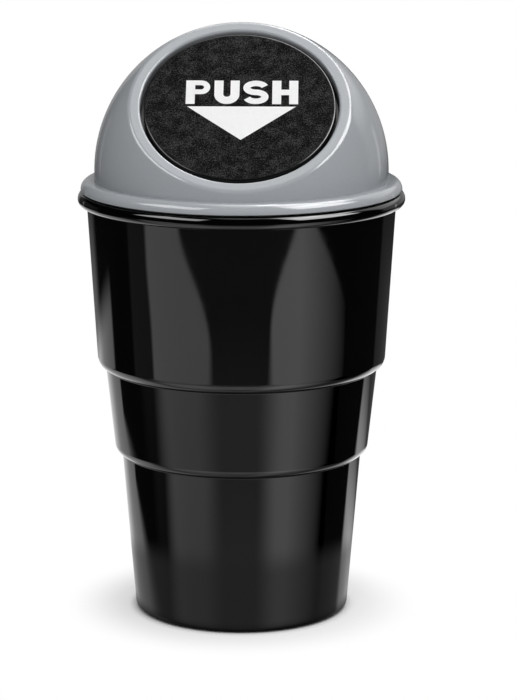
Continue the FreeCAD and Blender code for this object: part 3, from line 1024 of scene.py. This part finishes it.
# A reflection of a reflection shows the studio this much weaker. Its glossy depth is over the limit.
SECOND_MIRROR, ONE_MIRROR_DEPTH = 0.2, 1.5


def add_world():
    """White to the camera, the studio to reflections, and an even light to everything else."""
    world = bpy.data.worlds.new("world")
    bpy.context.scene.world = world
    world.use_nodes = True
    tree = world.node_tree
    coords = tree.nodes.new("ShaderNodeTexCoord")
    split = add(tree, "ShaderNodeSeparateXYZ", Vector=coords.outputs["Generated"])
    x, y, z = split.outputs
    path = tree.nodes.new("ShaderNodeLightPath")
    once = value(tree, "LESS_THAN", path.outputs["Glossy Depth"], ONE_MIRROR_DEPTH)
    mirrored = value(tree, "MULTIPLY", studio_light(tree, x, y, z), choose(tree, once, SECOND_MIRROR, 1))
    ambient = value(tree, "MULTIPLY_ADD", x, AMBIENT_RIGHT, AMBIENT)
    seen = choose(tree, path.outputs["Is Glossy Ray"], ambient, mirrored)
    total = choose(tree, path.outputs["Is Camera Ray"], seen, WHITE)
    background = tree.nodes["Background"]
    tree.links.new(total, background.inputs["Color"])
    background.inputs["Strength"].default_value = 1


# The floor shows its shadow near the cup and is plain white to the camera further out. Reflections
# see it only close to the cup, as a painted glow for the lit table, with painted shade at the cup's foot.
FLOOR_SIZE = 12.0
FLOOR_TONE, FLOOR_DARK, FLOOR_PALE = (3, 2), (0.86, 0.86, 0.86), (0.88, 0.88, 0.88)
FLOOR_ROUGHNESS, FLOOR_SPECULAR = 0.9, 0.0
SHADOW_R, HALO_R, SHADOW_SHARE = (0.0345, 0.0395), (0.036, 0.062), 0.55
FLOOR_SEEN_R, FOOT_SHADE_R = (0.078, 0.104), (0.034, 0.045)
FLOOR_MIRRORED_GLOW, FLOOR_CLEAR = 0.34, 0.4


def floor_material():
    """White table: its shadow to the camera, and to reflections a dim, part clear painted glow with painted
    shade at the cup's foot.
    """
    material, tree, shader = node_material("floor_white")
    colour = colour_mix(tree, place_noise(tree, *FLOOR_TONE), FLOOR_DARK, FLOOR_PALE)
    tree.links.new(colour, shader.inputs["Base Color"])
    shader.inputs["Roughness"].default_value = FLOOR_ROUGHNESS
    shader.inputs["Specular IOR Level"].default_value = FLOOR_SPECULAR
    coords = tree.nodes.new("ShaderNodeTexCoord")
    away = tree.nodes.new("ShaderNodeVectorMath")
    away.operation = "LENGTH"
    tree.links.new(coords.outputs["Object"], away.inputs[0])
    radius = away.outputs["Value"]
    path = tree.nodes.new("ShaderNodeLightPath")
    clear = tree.nodes.new("ShaderNodeBsdfTransparent")
    # Painted shade: the glow that reflections see fades to nothing where the floor meets the cup's foot.
    lit = rise(tree, radius, *FOOT_SHADE_R)
    near_clear = value(tree, "MULTIPLY", lit, FLOOR_CLEAR)
    see_through = choose(tree, rise(tree, radius, *FLOOR_SEEN_R), near_clear, 1)
    near_glow = glow(tree, value(tree, "MULTIPLY", lit, FLOOR_MIRRORED_GLOW))
    mirrored = mixed(tree, see_through, near_glow, clear.outputs[0])
    paled = value(tree, "MULTIPLY", rise(tree, radius, *SHADOW_R), SHADOW_SHARE)
    paled = value(tree, "MULTIPLY_ADD", rise(tree, radius, *HALO_R), 1 - SHADOW_SHARE, paled)
    paled = value(tree, "MULTIPLY", paled, path.outputs["Is Camera Ray"])
    plain = mixed(tree, paled, shader.outputs[0], glow(tree, WHITE))
    both = mixed(tree, path.outputs["Is Glossy Ray"], plain, mirrored)
    tree.links.new(both, tree.nodes["Material Output"].inputs["Surface"])
    return material


def add_floor():
    """Square floor, part of the stage."""
    half = FLOOR_SIZE / 2
    points = [(-half, -half, 0), (half, -half, 0), (half, half, 0), (-half, half, 0)]
    mesh = bpy.data.meshes.new("floor")
    mesh.from_pydata(points, [], [(0, 1, 2, 3)])
    mesh.materials.append(floor_material())
    floor = bpy.data.objects.new("floor", mesh)
    bpy.context.scene.collection.objects.link(floor)


# Square lamps: name, place, the point each is turned toward, side in metres and power in watts
LAMPS = (
    ("top", (0.12, -0.3, 1.25), (0, 0, 0.15), 0.7, 7.5),
    ("front", (-0.2, -1.2, 0.4), (0, 0, 0.12), 0.6, 2.4),
)


def add_lamp(name, at, toward, side, power):
    """Area lamp. It lights but isn't mirrored."""
    data = bpy.data.lights.new(name, "AREA")
    data.shape = "RECTANGLE"
    data.size = side
    data.size_y = side
    data.energy = power
    lamp = bpy.data.objects.new(name, data)
    bpy.context.scene.collection.objects.link(lamp)
    lamp.location = at
    aim = Vector(toward) - Vector(at)
    lamp.rotation_euler = aim.to_track_quat("-Z", "Y").to_euler()
    lamp.visible_camera = False
    lamp.visible_glossy = False


def light_scene():
    """The studio and its lamps."""
    add_world()
    for lamp in LAMPS:
        add_lamp(*lamp)


build_object()
add_camera()
add_floor()
light_scene()
bpy.context.scene.view_settings.view_transform = "Standard"
